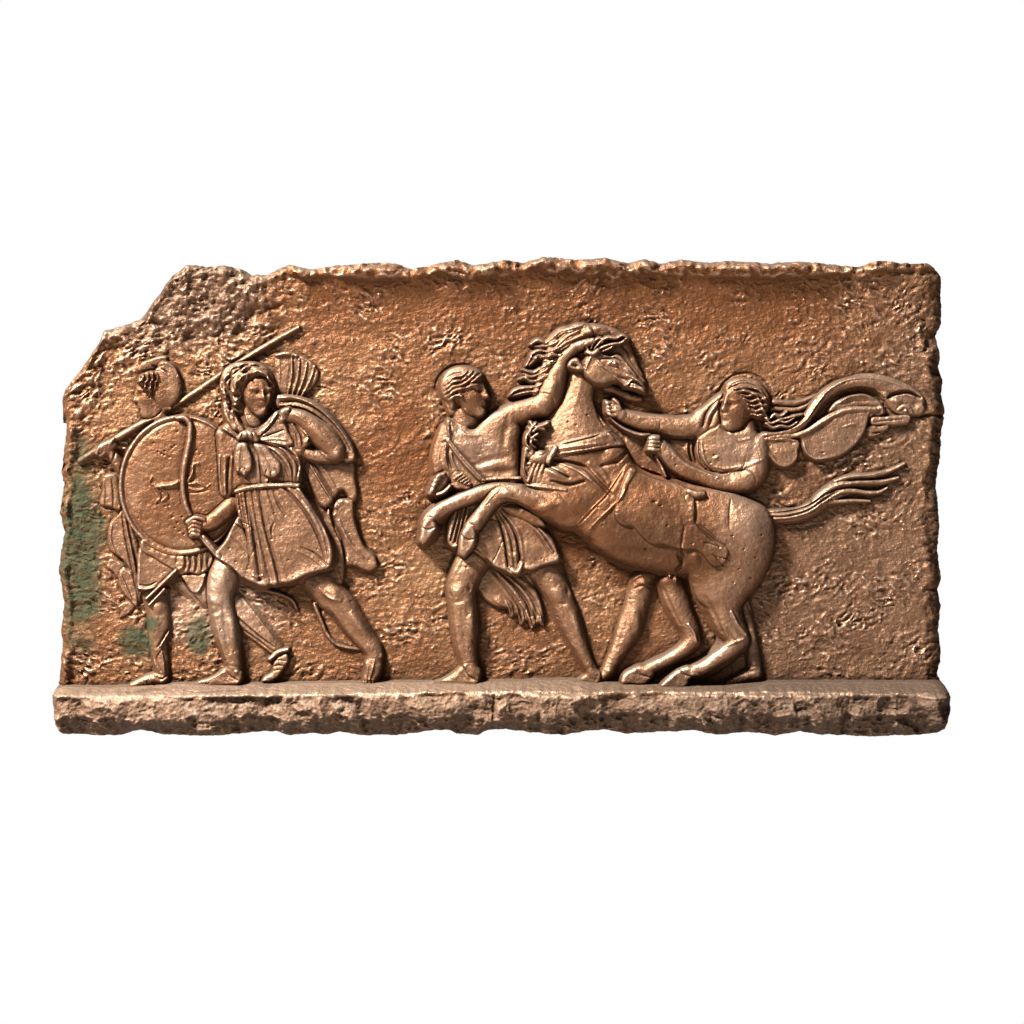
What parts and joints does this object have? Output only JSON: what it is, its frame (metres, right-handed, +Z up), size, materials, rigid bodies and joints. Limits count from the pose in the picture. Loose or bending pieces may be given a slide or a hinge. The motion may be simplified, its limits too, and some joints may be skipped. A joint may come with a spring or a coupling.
{
  "type": "bronze relief wall plaque",
  "caption": "Cast bronze relief plaque shaped as a broken slab, with warriors on foot, a rearing horse and its grooms above a rough ledge.",
  "frame": {"origin": "middle of the flat back face, where the plaque lies against the wall", "axes": "+X to the right as seen from the front, +Y out of the back into the wall, +Z up; the relief faces -Y"},
  "size_m": [1, 0.0697, 0.5359],
  "materials": {
    "bronze": "cast bronze with a copper-brown patina: rubbed pinkish highlights, dark hollows and pits, a dull olive ledge, green verdigris low on the left"
  },
  "bodies": {
    "root": {"relief_plaque": "bronze"}
  },
  "joints": []
}
